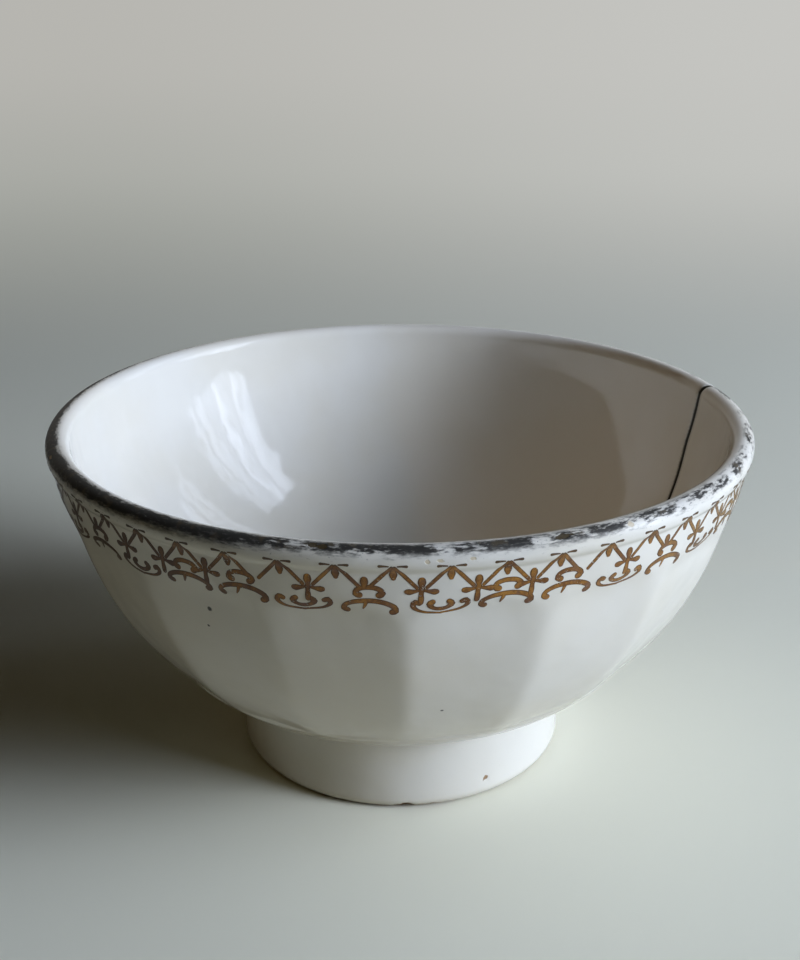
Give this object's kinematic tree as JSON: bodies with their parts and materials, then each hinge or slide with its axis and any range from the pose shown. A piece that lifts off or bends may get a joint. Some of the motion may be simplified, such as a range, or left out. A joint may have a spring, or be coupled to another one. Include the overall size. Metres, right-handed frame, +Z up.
{
  "type": "cracked bowl",
  "caption": "Round footed bowl with a panelled outside, a worn dark lip, a gilt stamped frieze and a crack down its inside wall.",
  "frame": {"origin": "middle of the foot's contact ring, on the table", "axes": "+Z up through the bowl's axis; -Y towards the side with the chipped foot edge; the crack is near +X, leaning towards +Y"},
  "size_m": [0.14, 0.14, 0.0726],
  "materials": {
    "glazed_body": "clear glossy glaze over a cream white body, worn dark along the lip, bare and brown at the chips"
  },
  "bodies": {
    "root": {"bowl": "glazed_body"}
  },
  "joints": []
}
